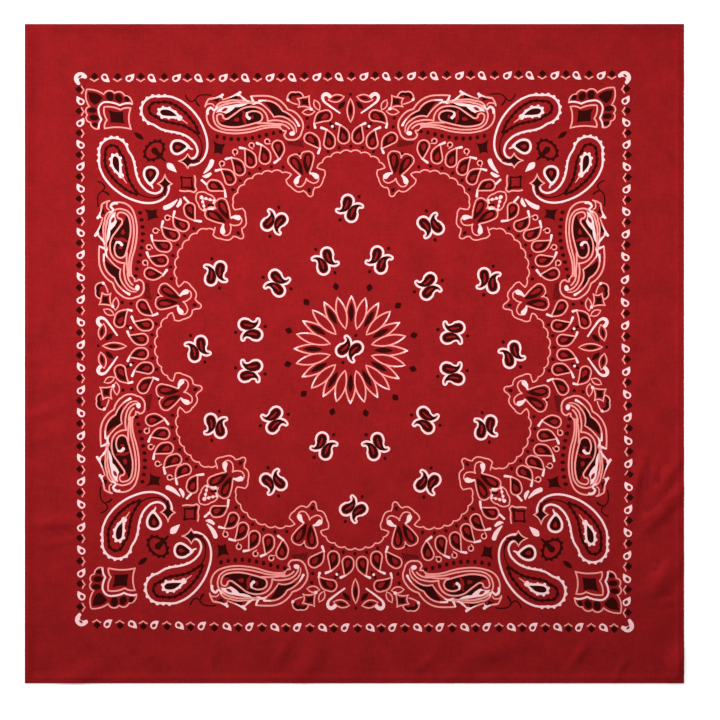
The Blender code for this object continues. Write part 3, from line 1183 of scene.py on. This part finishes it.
def top_inks(outlines, points, triangles, sources):
    """The ink that lies uppermost in each triangle."""
    covered = [0.0] * len(outlines)
    for (a, b, c), ids in zip(triangles, sources):
        for i in ids:
            covered[i] += turn_of(points[a], points[b], points[c]) / 2
    # a patch that the triangulation turned inside out covers far more than its own area
    leaks = {i for i, patch in enumerate(outlines) if covered[i] > 2 * area_of(patch) + 1}
    print("patches left out of the cut:", len(leaks))
    inks = []
    for ids in sources:
        top = max((i for i in ids if i not in leaks), default=0)
        inks.append(PRINT[top - 1][0] if top else RED)
    return inks


def ink_lines():
    """The lines where two inks meet, each as its points and the inks at its left and right."""
    outlines = [[(-SEAM, -SEAM), (SEAM, -SEAM), (SEAM, SEAM), (-SEAM, SEAM)]] + OUTLINES
    points, _, triangles, _, _, sources = cut([], [], outlines)
    inks = top_inks(outlines, points, triangles, sources)
    beside = {}
    for ink, (a, b, c) in zip(inks, triangles):
        for edge in ((a, b), (b, c), (c, a)):
            beside[edge] = ink
    ends = {}
    for (a, b), ink in beside.items():
        other = beside.get((b, a), ink)
        if ink != other:
            ends.setdefault(a, []).append(b)
    lines = []
    used = set()
    forks = [a for a in ends if len(ends[a]) != 2]
    for start in forks + list(ends):
        for step in ends[start]:
            if (start, step) in used:
                continue
            chain = [start, step]
            while len(ends[chain[-1]]) == 2 and chain[-1] != start:
                ahead = [p for p in ends[chain[-1]] if p != chain[-2]]
                if not ahead:
                    break
                chain.append(ahead[0])
            for a, b in zip(chain, chain[1:]):
                used.update(((a, b), (b, a)))
            inks_here = (beside[start, step], beside[step, start])
            lines.append(([tuple(points[p]) for p in chain], inks_here))
    return lines


def slim(path):
    """A cut line with fewer points. A closed one is thinned as two halves."""
    if path[0] != path[-1]:
        return thinned(path, CUT_SLACK)
    half = len(path) // 2
    return thinned(path[: half + 1], CUT_SLACK)[:-1] + thinned(path[half:], CUT_SLACK)


def cut_face():
    """Points, triangles and the ink of each triangle of the printed face."""
    places, points = {}, []
    lines, inks_at = [], []

    def number(p):
        key = (round(p[0], 5), round(p[1], 5))
        if key not in places:
            places[key] = len(points)
            points.append(p)
        return places[key]

    for p in EDGE:
        number(p)
    for path, inks in ink_lines():
        path = slim(path)
        for a, b in zip(path, path[1:]):
            i, k = number(a), number(b)
            if i != k:
                lines.append((i, k))
                inks_at.append(inks)
    for p in FILLING:
        number(p)
    seats, edges, triangles, _, edge_sources, _ = cut(points, lines, [])
    side_of = {}
    for (a, b), sources in zip(edges, edge_sources):
        if sources:
            i, k = lines[sources[0]]
            ahead = (seats[b] - seats[a]).dot(Vector(points[k]) - Vector(points[i])) > 0
            left, right = inks_at[sources[0]]
            side_of[a, b] = left if ahead else right
            side_of[b, a] = right if ahead else left
    return seats, triangles, checked(seats, triangles, flooded(triangles, side_of))


def flooded(triangles, side_of):
    """The ink of each triangle, from the inks at the lines and on as far as the next line."""
    owner = {}
    for t, (a, b, c) in enumerate(triangles):
        owner[a, b] = owner[b, c] = owner[c, a] = t
    inks = [None] * len(triangles)
    todo = []
    for edge, ink in side_of.items():
        t = owner.get(edge)
        if t is not None and inks[t] is None:
            inks[t] = ink
            todo.append(t)
    while todo:
        t = todo.pop()
        a, b, c = triangles[t]
        for edge in ((a, b), (b, c), (c, a)):
            near = owner.get((edge[1], edge[0]))
            if edge not in side_of and near is not None and inks[near] is None:
                inks[near] = inks[t]
                todo.append(near)
    return inks


NEAR_RIM = 0.01  # a point this close to the rim of the face counts as on it, mm
CELL = 4.0
TRUSTED = 0.06  # a triangle whose inner circle is smaller than this isn't checked, mm


def checked(points, triangles, inks):
    """The inks, put right at each wide triangle where the thinned lines let another ink in."""
    near = {}
    for i, outline in enumerate(OUTLINES):
        cells = [[int(p[k] // CELL) for p in outline] for k in (0, 1)]
        for across in range(min(cells[0]), max(cells[0]) + 1):
            for up in range(min(cells[1]), max(cells[1]) + 1):
                near.setdefault((across, up), []).append(i)
    out = []
    mended = 0
    for triangle, ink in zip(triangles, inks):
        a, b, c = (points[i] for i in triangle)
        sides = (math.dist(b, c), math.dist(a, c), math.dist(a, b))
        round_it = sum(sides) or 1.0
        ink = ink or RED
        if turn_of(a, b, c) / round_it > TRUSTED:
            x, y = (sum(s * p[k] for s, p in zip(sides, (a, b, c))) / round_it for k in (0, 1))
            there = near.get((int(x // CELL), int(y // CELL)), ())
            right = next((PRINT[i][0] for i in reversed(there) if holds(OUTLINES[i], x, y)), RED)
            mended += right != ink
            ink = right
        out.append(ink)
    print("triangles put right:", mended)
    return out


def holds(outline, x, y):
    """Whether the point lies inside the outline."""
    within = False
    px, py = outline[-1]
    for qx, qy in outline:
        if (qy > y) != (py > y) and x < (px - qx) * (y - qy) / (py - qy) + qx:
            within = not within
        px, py = qx, qy
    return within


face_points, face_triangles, face_inks = cut_face()
shares = [face_inks.count(ink) for ink in (RED, WHITE, BLACK, PALE)]
print("the face is cut into", len(face_triangles), "triangles: red, white, black, pale", shares)

# %% [markdown]
# ## The cloth itself
# The cut face, the folded edge and a plain underside are joined into one closed thin shell.
# The edge is rolled: the cloth goes round a half circle and ends under itself, where its hem
# carries on.

# %% Build the shell
# The folded edge in section: how far out of the rim, and how far below the face, mm
ROLL = (
    (0.20, 0.04), (0.36, 0.14), (0.47, 0.30), (0.50, 0.50), (0.47, 0.70), (0.36, 0.86),
    (0.20, 0.96), (0.0, 1.0), (0.0, 0.70), (0.14, 0.62), (0.19, 0.50), (0.14, 0.40), (0.0, 0.35),
)
BACK = 4  # the cloth's finish after the four inks: its wrong side


def rim_of(triangles):
    """The outer edge of a set of triangles, in order."""
    edges = set()
    for a, b, c in triangles:
        edges.update(((a, b), (b, c), (c, a)))
    ahead = {a: b for a, b in edges if (b, a) not in edges}
    ring = [next(iter(ahead))]
    while ahead[ring[-1]] != ring[0]:
        ring.append(ahead[ring[-1]])
    return ring


def outward(x, y):
    """Which way is out of the square, for a point on its rim."""
    return [math.copysign(1, v) if abs(v) > SEAM - NEAR_RIM else 0 for v in (x, y)]


def build_shell(name):
    """The whole cloth as one closed mesh with its print."""
    corners = [(p[0], p[1], height(p[0], p[1])) for p in face_points]
    faces = [tuple(t) for t in face_triangles]
    finish = list(face_inks)
    ring = rim_of(faces)
    start = [corners[i] for i in ring]
    for out, down in ROLL:
        first = len(corners)
        for x, y, z in start:
            east, north = outward(x, y)
            corners.append((x + out * east, y + out * north, z - down))
        fresh = list(range(first, len(corners)))
        for k in range(len(ring)):
            after = (k + 1) % len(ring)
            faces.append((ring[k], fresh[k], fresh[after], ring[after]))
            finish.append(RED if down < 0.9 and out else BACK)
        ring = fresh
    # the underside: fewer points, and wound the other way
    under = [(x, y) for x, y, _ in start]
    seats, _, triangles, sources, _, _ = cut(under + spread(*UNDER_STEPS), [], [])
    seat_of = []
    for seat, source in zip(seats, sources):
        rim_point = [s for s in source if s < len(under)]
        if rim_point:
            seat_of.append(ring[rim_point[0]])
        else:
            seat_of.append(len(corners))
            corners.append((seat[0], seat[1], height(seat[0], seat[1]) - THICK))
    for a, b, c in triangles:
        faces.append((seat_of[c], seat_of[b], seat_of[a]))
        finish.append(BACK)
    return mesh_piece(name, corners, faces, finish)


def mesh_piece(name, corners, faces, finish=None):
    """A smooth piece from corners in millimetres."""
    mesh = bpy.data.meshes.new(name)
    mesh.from_pydata([(x / 1000, y / 1000, z / 1000) for x, y, z in corners], [], faces)
    if finish:
        mesh.polygons.foreach_set("material_index", finish)
    mesh.shade_smooth()
    mesh.update()
    piece = bpy.data.objects.new(name, mesh)
    bpy.context.scene.collection.objects.link(piece)
    return piece


SLOPE_STEP = 1.5  # run over which the slope of the face is taken, mm


def shade_by_slope(piece):
    """Gives the corners of the face its true slope, as the cut triangles are uneven."""
    mesh = piece.data
    normals = [tuple(normal.vector) for normal in mesh.vertex_normals]
    for i, (x, y) in enumerate(face_points):
        if max(abs(x), abs(y)) < SEAM - NEAR_RIM:
            east = height(x - SLOPE_STEP, y) - height(x + SLOPE_STEP, y)
            north = height(x, y - SLOPE_STEP) - height(x, y + SLOPE_STEP)
            normals[i] = tuple(Vector((east, north, 2 * SLOPE_STEP)).normalized())
    mesh.normals_split_custom_set_from_vertices(normals)


cloth = build_shell("printed_cloth")
shade_by_slope(cloth)
print("the cloth has", len(cloth.data.vertices), "corners and", len(cloth.data.polygons), "faces")

# %% [markdown]
# A texture map is laid out for the cloth straight from above, because an automatic one would cut
# the print into scraps: the face takes the lower part of the map in one piece, the rest the strip
# above.

# %% Lay out the texture map
FACE_SHARE = 0.78  # of the texture map's height, for the printed face
MAP_EDGE = 0.005  # left empty round each part of the map


def lay_out(piece):
    """Maps the face and the rest straight from above, each in its own part of the square."""
    mesh = piece.data
    layer = mesh.uv_layers.new(name="OFBake")
    places = [0.0] * (2 * len(mesh.loops))
    side = 2 * HALF / 1000 + 0.001
    for polygon in mesh.polygons:
        low, high = (FACE_SHARE, 1.0) if polygon.material_index == BACK else (0.0, FACE_SHARE)
        for loop in polygon.loop_indices:
            x, y, _ = mesh.vertices[mesh.loops[loop].vertex_index].co
            u, v = x / side + 0.5, y / side + 0.5
            places[2 * loop] = MAP_EDGE + (1 - 2 * MAP_EDGE) * u
            places[2 * loop + 1] = low + MAP_EDGE + (high - low - 2 * MAP_EDGE) * v
    layer.data.foreach_set("uv", places)


lay_out(cloth)
print("texture map", cloth.data.uv_layers[0].name)

# %% [markdown]
# ## The hems
# Each edge is turned under twice and sewn down. Under the edge lie two more layers: the cloth
# runs in for 5 mm, folds back on itself, and ends with its raw edge hidden near the outer fold.
# In section that is a flat U on its side, swept along the edge.

# %% The four hems
# The hem in section: how far in from the edge, and how far below the face, mm
HEM_SECTION = (
    (0.55, 1.00), (4.80, 1.00), (4.95, 0.93), (5.02, 0.82), (5.04, 0.69), (5.00, 0.53),
    (4.92, 0.42), (4.78, 0.37), (0.75, 0.37), (0.75, 0.66), (4.60, 0.66), (4.70, 0.69),
    (4.60, 0.72), (0.55, 0.72),
)


def hem(name, turn, reach):
    """A hem as long as twice the reach, drawn at the top edge and turned to its own side."""
    runs = round(2 * reach / EDGE_STEP)
    c, s = math.cos(math.radians(turn)), math.sin(math.radians(turn))
    corners, faces = [], []
    count = len(HEM_SECTION)
    for i in range(runs + 1):
        t = -reach + 2 * reach * i / runs
        for inset, down in HEM_SECTION:
            x, y = t * c - (HALF - inset) * s, t * s + (HALF - inset) * c
            rise = lift(x, y) + pucker(x, y) + THICK + HEM_RISE
            corners.append((x, y, rise - down))
    for i in range(runs):
        for k in range(count):
            a, b = i * count + k, i * count + (k + 1) % count
            faces.append((a, b, b + count, a + count))
    faces.append(tuple(range(count))[::-1])
    faces.append(tuple(range(runs * count, runs * count + count)))
    return mesh_piece(name, corners, faces)


LONG_REACH = HALF - 0.6  # half the length of the top and bottom hems
SHORT_REACH = HALF - HEM - 0.3  # and of the two between them
hems = {
    "hem_top": hem("top_hem", 0, LONG_REACH),
    "hem_left": hem("left_hem", 90, SHORT_REACH),
    "hem_bottom": hem("bottom_hem", 180, LONG_REACH),
    "hem_right": hem("right_hem", 270, SHORT_REACH),
}
print("hems of", [len(piece.data.polygons) for piece in hems.values()], "faces")

# %% [markdown]
# The hems are sewn with a red lockstitch. On the face it shows as short dashes that sink into
# the cloth at both ends. Each dash is a small six-sided bead, bent by the pull of the thread.

# %% The lockstitch
STITCH_LENGTH = 2.1  # visible part of a stitch, mm
STITCH_PITCH = 2.6
STITCH_INSET = 4.0  # from the edge to the seam
THREAD = 0.22  # radius of the sewing thread
STITCH_SIDES = 6
# place along the stitch, share of its radius, rise
STITCH_PROFILE = (
    (-0.5, 0.30, -0.9), (-0.36, 0.85, -0.15), (0.0, 1.0, 0.15), (0.36, 0.85, -0.15),
    (0.5, 0.30, -0.9),
)


def stitches(name):
    """All four rows of stitches as one mesh."""
    corners, faces = [], []
    reach = HALF - STITCH_INSET
    count = int(2 * reach / STITCH_PITCH)
    for c, s in ((1, 0), (0, 1), (-1, 0), (0, -1)):
        for i in range(count):
            middle = -reach + 2 * reach * (i + 0.5) / count
            first = len(corners)
            for place, share, rise in STITCH_PROFILE:
                t = middle + place * STITCH_LENGTH
                seam = height(t * c - reach * s, t * s + reach * c)
                for k in range(STITCH_SIDES):
                    angle = 2 * math.pi * k / STITCH_SIDES
                    across = THREAD * share * math.cos(angle) + reach
                    up = THREAD * (share * math.sin(angle) + rise)
                    corners.append((t * c - across * s, t * s + across * c, seam + up))
            last = len(corners) - STITCH_SIDES
            for start in range(first, last, STITCH_SIDES):
                for k in range(STITCH_SIDES):
                    a, b = start + k, start + (k + 1) % STITCH_SIDES
                    faces.append((a, a + STITCH_SIDES, b + STITCH_SIDES, b))
            faces.append(tuple(range(first, first + STITCH_SIDES)))
            faces.append(tuple(range(last, last + STITCH_SIDES))[::-1])
    return mesh_piece(name, corners, faces)


thread = stitches("hem_stitches")
print("stitches:", len(thread.data.polygons) // (4 * STITCH_SIDES + 2))

# %% [markdown]
# ## Cotton and ink
# The cloth is a light plain-weave cotton, piece-dyed with a reactive red. Short fibres make it
# matt, with a faint fuzz that lifts the colour at low angles, and uneven threads, or slubs,
# give it fine streaks both ways. The white and the black are pigment pastes pushed through a
# screen. They sit on the threads, so the weave still shows through them.

# %% Node helpers
def linear(code):
    """An sRGB hex colour as linear red, green, blue and alpha."""
    out = []
    for i in (0, 2, 4):
        value = int(code[i : i + 2], 16) / 255
        out.append(value / 12.92 if value <= 0.04045 else ((value + 0.055) / 1.055) ** 2.4)
    return (*out, 1.0)


def add(tree, kind, settings=(), **links):
    """Adds one node with its settings. Each link is a socket's name and a socket or a value."""
    node = tree.nodes.new(kind)
    for key, value in dict(settings).items():
        setattr(node, key, value)
    for key, value in links.items():
        names = [s for s in node.inputs if s.identifier == key or s.name.replace(" ", "_") == key]
        if isinstance(value, bpy.types.NodeSocket):
            tree.links.new(value, names[0])
        else:
            names[0].default_value = value
    return node


def maths(tree, operation, *values):
    """The result of a node that works out one number from up to three."""
    links = dict(zip(("Value", "Value_001", "Value_002"), values))
    return add(tree, "ShaderNodeMath", {"operation": operation}, **links).outputs[0]


def surface(name, **values):
    """A new material, its nodes and its shader, with values set on the shader's own sockets."""
    material = bpy.data.materials.new(name)
    material.use_nodes = True
    shader = material.node_tree.nodes["Principled BSDF"]
    for key, value in values.items():
        shader.inputs[key.replace("_", " ")].default_value = value
    return material, material.node_tree, shader


FACE_RED = "8E1518"
print("red in linear light", [round(v, 4) for v in linear(FACE_RED)])

# %% [markdown]
# One function builds every kind of cotton here. The weave is two sine waves at the thread
# spacing, one in each direction, which swap over and under. The slubs are noise stretched
# along each thread direction. Both change the colour a little and lift the surface a little.

# %% Cotton cloth
THREAD_SPACING = 0.00045  # metres between threads, about 56 to the inch
THREAD_RISE = 0.00008  # metres that a thread stands up
SLUB_RISE = 0.0002
SLUB_SCALE, SLUB_STRETCH = 620.0, 0.22
CLOUD_SCALE = 45.0  # of the unevenness of the dye
SLUB_SHARE, CLOUD_SHARE = 0.5, 0.6  # how much each changes the colour
DARK_AT, LIGHT_AT = 0.60, 1.00  # where on that sum the darkest and the lightest colour lie


def cotton(name, colour, nap, roughness, fuzz, weave, mottle, gloss=0.06):
    """Plain-weave cotton: nap is the colour of its fuzz, weave its bump, mottle its unevenness."""
    material, tree, shader = surface(
        name, Roughness=roughness, IOR=1.5, Specular_IOR_Level=gloss,
        Sheen_Weight=fuzz, Sheen_Roughness=0.5, Sheen_Tint=linear(nap),
    )
    place = add(tree, "ShaderNodeTexCoord").outputs["Object"]
    apart = add(tree, "ShaderNodeSeparateXYZ", Vector=place)
    waves, slubs = [], []
    for axis, stretch in (("X", (SLUB_STRETCH, 1.0, 1.0)), ("Y", (1.0, SLUB_STRETCH, 1.0))):
        turns = maths(tree, "MULTIPLY", apart.outputs[axis], math.pi / THREAD_SPACING)
        waves.append(maths(tree, "SINE", turns))
        seat = add(tree, "ShaderNodeVectorMath", {"operation": "MULTIPLY"}, Vector=place,
                   Vector_001=stretch)
        slub = add(tree, "ShaderNodeTexNoise", Vector=seat.outputs[0], Scale=SLUB_SCALE,
                   Detail=3.0, Roughness=0.6)
        slubs.append(slub.outputs["Fac"])
    over, both = maths(tree, "MULTIPLY", *waves), maths(tree, "ADD", *slubs)
    cloudy = add(tree, "ShaderNodeTexNoise", Vector=place, Scale=CLOUD_SCALE, Detail=4.0)
    shade = maths(tree, "MULTIPLY", both, SLUB_SHARE)
    mixed = maths(tree, "MULTIPLY_ADD", cloudy.outputs["Fac"], CLOUD_SHARE, shade)
    ramp = add(tree, "ShaderNodeValToRGB", Fac=mixed)
    stops = zip(ramp.color_ramp.elements, (DARK_AT, LIGHT_AT), (1 - mottle, 1 + mottle))
    for stop, position, strength in stops:
        stop.position = position
        stop.color = [min(v * strength, 1.0) for v in linear(colour)[:3]] + [1.0]
    tree.links.new(ramp.outputs["Color"], shader.inputs["Base Color"])
    fine = add(tree, "ShaderNodeBump", Height=over, Strength=weave, Distance=THREAD_RISE)
    coarse = add(tree, "ShaderNodeBump", Height=both, Strength=weave, Distance=SLUB_RISE,
                 Normal=fine.outputs[0])
    tree.links.new(coarse.outputs["Normal"], shader.inputs["Normal"])
    return material


# reactive-dyed cotton, the face: matt, with a little fuzz
dyed_cotton = cotton("reactive_dyed_cotton", FACE_RED, "D8606A", 0.86, 0.05, 0.5, 0.17)
# titanium-white pigment paste: smoother than the cloth, and slightly pink where it is thin
white_pigment = cotton("white_pigment_print", "FBCDCE", "FFFFFF", 0.72, 0.02, 0.35, 0.03)
# carbon-black pigment paste over red: a very dark red-brown
black_pigment = cotton("black_pigment_print", "320907", "A04040", 0.78, 0.0, 0.35, 0.08, 0.02)
# the same white paste where the line is thin: little of it stays up, and the red shows through
pale_pigment = cotton("thin_white_pigment_print", "F2968F", "FFFFFF", 0.76, 0.02, 0.4, 0.05)
# the wrong side of the dyed cloth: a little duller, because the dye was pressed in from the face
wrong_side = cotton("cotton_wrong_side", "86131A", "D8606A", 0.88, 0.05, 0.5, 0.06)
# the sewing thread: mercerised cotton, twisted, so rounder and a touch glossier
sewing_thread = cotton("mercerised_sewing_thread", "8A1014", "D8606A", 0.62, 0.04, 0.4, 0.05)
finishes = (dyed_cotton, white_pigment, black_pigment, pale_pigment, wrong_side)
print("materials", [m.name for m in (*finishes, sewing_thread)])

# %% [markdown]
# ## Put the finishes on
# The cloth carries five of them, by face, in the order of its inks. The hems show only the
# wrong side.

# %% Put the finishes on
for finish in finishes:
    cloth.data.materials.append(finish)
for piece in hems.values():
    piece.data.materials.append(wrong_side)
thread.data.materials.append(sewing_thread)
print("cloth slots", [m.name for m in cloth.data.materials])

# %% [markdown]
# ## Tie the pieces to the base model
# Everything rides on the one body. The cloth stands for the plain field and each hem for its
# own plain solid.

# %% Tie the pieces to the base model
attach(cloth, "root")
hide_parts("cloth_field")
for node, piece in hems.items():
    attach(piece, "root")
    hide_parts(node)
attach(thread, "root")

# %% [markdown]
# ## Table, light and camera
# The cloth lies on a matt opal table that glows a little from below, so that its ground is
# white. A broad strip lamp hangs above, and a small lamp at the upper left rakes over the
# creases. The camera hangs straight above with a long lens, so that the square stays square.

# %% The table
TABLE_SIDE = 3.0  # metres
TABLE_DROP = 0.00015  # how far the table lies below the cloth, metres
TABLE_GLOW = 0.5
GRAIN_SCALE = 600.0
bpy.ops.mesh.primitive_plane_add(size=TABLE_SIDE, location=(0, 0, -TABLE_DROP))
floor = bpy.context.object
floor.name = "studio_floor"
opal, opal_nodes, opal_shader = surface("backlit_opal_acrylic", Roughness=0.9,
                                        Emission_Color=(1, 1, 1, 1), Emission_Strength=TABLE_GLOW)
grain = add(opal_nodes, "ShaderNodeTexNoise", Scale=GRAIN_SCALE, Detail=3.0)
tint = add(opal_nodes, "ShaderNodeValToRGB", Fac=grain.outputs["Fac"])
tint.color_ramp.elements[0].color = linear("FBFBFB")
tint.color_ramp.elements[1].color = linear("FFFFFF")
opal_nodes.links.new(tint.outputs["Color"], opal_shader.inputs["Base Color"])
floor.data.materials.append(opal)
print("table at", round(floor.location.z * 1000, 2), "mm")

# %% Light
KEY_POWER, KEY_SIZE = 4.9, (1.2, 0.3)  # watts; metres wide and deep
KEY_PLACE = (-0.11, 0.11, 0.50)
RAKE_POWER, RAKE_SIZE = 76.0, (0.5, 0.5)
RAKE_PLACE = (-2.4, 1.8, 1.1)
SKY_STRENGTH = 0.05
DOWN = (0, 0, -1)


def lamp(name, place, power, size, aim):
    """A soft lamp of a size, wide and deep, that points along aim."""
    light = bpy.data.lights.new(name, "AREA")
    light.shape = "RECTANGLE"
    light.energy = power
    light.size, light.size_y = size
    bulb = bpy.data.objects.new(name, light)
    bulb.location = place
    bulb.rotation_euler = Vector(aim).to_track_quat("-Z", "Y").to_euler()
    bpy.context.scene.collection.objects.link(bulb)


lamp("key_light", KEY_PLACE, KEY_POWER, KEY_SIZE, DOWN)
lamp("rake_light", RAKE_PLACE, RAKE_POWER, RAKE_SIZE, -Vector(RAKE_PLACE))
world = bpy.data.worlds.new("studio")
world.use_nodes = True
sky = world.node_tree.nodes["Background"]
sky.inputs["Color"].default_value = (1, 1, 1, 1)
sky.inputs["Strength"].default_value = SKY_STRENGTH
bpy.context.scene.world = world
bpy.context.scene.view_settings.view_transform = "Standard"

# %% Camera
FRAME_WIDE = 0.6106  # metres across the frame at the cloth
LENS = 100.0
SENSOR = 36.0
OVER = (0.00475, -0.00543)  # the point that it hangs over
camera = bpy.data.objects.new("camera", bpy.data.cameras.new("camera"))
camera.data.lens = LENS
camera.data.sensor_width = SENSOR
camera.location = (*OVER, FRAME_WIDE * LENS / SENSOR)
camera.rotation_euler = (0, 0, 0)
bpy.context.scene.collection.objects.link(camera)
bpy.context.scene.camera = camera
print("camera hangs", round(camera.location.z, 3), "m above the cloth")
